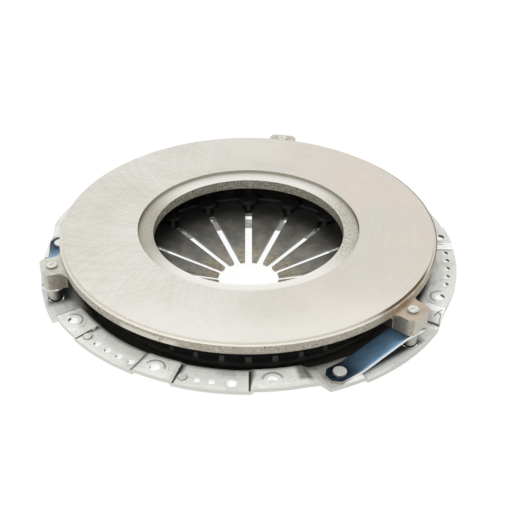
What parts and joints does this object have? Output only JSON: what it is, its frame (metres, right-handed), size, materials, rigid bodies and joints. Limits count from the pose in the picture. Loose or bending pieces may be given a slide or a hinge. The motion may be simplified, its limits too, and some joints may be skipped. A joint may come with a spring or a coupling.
{
  "type": "clutch cover assembly",
  "caption": "Diaphragm-spring clutch pressure plate: ground cast ring with drive lugs, stamped scalloped cover, riveted leaf straps, slit cone spring on wire fulcrum rings.",
  "frame": {"origin": "centre of the bolt circle, in the plane of the bolt pads that seat on the flywheel", "axes": "+Z along the clutch axis towards the flywheel and the plate's ground friction face; a gap between spring fingers lies on +Y, and the first drive lug lies 41.5 degrees clockwise of +X seen from the flywheel"},
  "size_m": [0.415, 0.415, 0.072],
  "materials": {
    "cover_steel": "satin zinc phosphate",
    "plate_iron": "ground face, cast sides",
    "spring_steel": "dark oiled",
    "ring_wire": "oiled",
    "pivot_rivet_steel": "dark oiled",
    "rivet_steel": "satin zinc",
    "strap_steel": "blued spring steel"
  },
  "bodies": {
    "cover": {"cover": "cover_steel", "diaphragm_spring": "spring_steel", "upper_fulcrum_ring": "ring_wire", "lower_fulcrum_ring": "ring_wire", "pivot_rivets": "pivot_rivet_steel", "balance_rivets": "rivet_steel", "right_strap_rivet": "rivet_steel", "rear_strap_rivet": "rivet_steel", "left_strap_rivet": "rivet_steel", "right_strap_top_leaf": "strap_steel", "right_strap_middle_leaf": "strap_steel", "right_strap_bottom_leaf": "strap_steel", "rear_strap_top_leaf": "strap_steel", "rear_strap_middle_leaf": "strap_steel", "rear_strap_bottom_leaf": "strap_steel", "left_strap_top_leaf": "strap_steel", "left_strap_middle_leaf": "strap_steel", "left_strap_bottom_leaf": "strap_steel"},
    "pressure_plate": {"pressure_plate": "plate_iron", "right_lug_rivet": "rivet_steel", "rear_lug_rivet": "rivet_steel", "left_lug_rivet": "rivet_steel"}
  },
  "joints": [
    {"name": "plate_travel", "type": "slide", "parent": "cover", "child": "pressure_plate", "axis": [0, 0, -1], "range_m": [0, 0.006], "stiffness_N_per_m": 30000, "springref_m": -0.01, "deforming": ["diaphragm_spring", "right_strap_top_leaf", "right_strap_middle_leaf", "right_strap_bottom_leaf", "rear_strap_top_leaf", "rear_strap_middle_leaf", "rear_strap_bottom_leaf", "left_strap_top_leaf", "left_strap_middle_leaf", "left_strap_bottom_leaf"]}
  ]
}
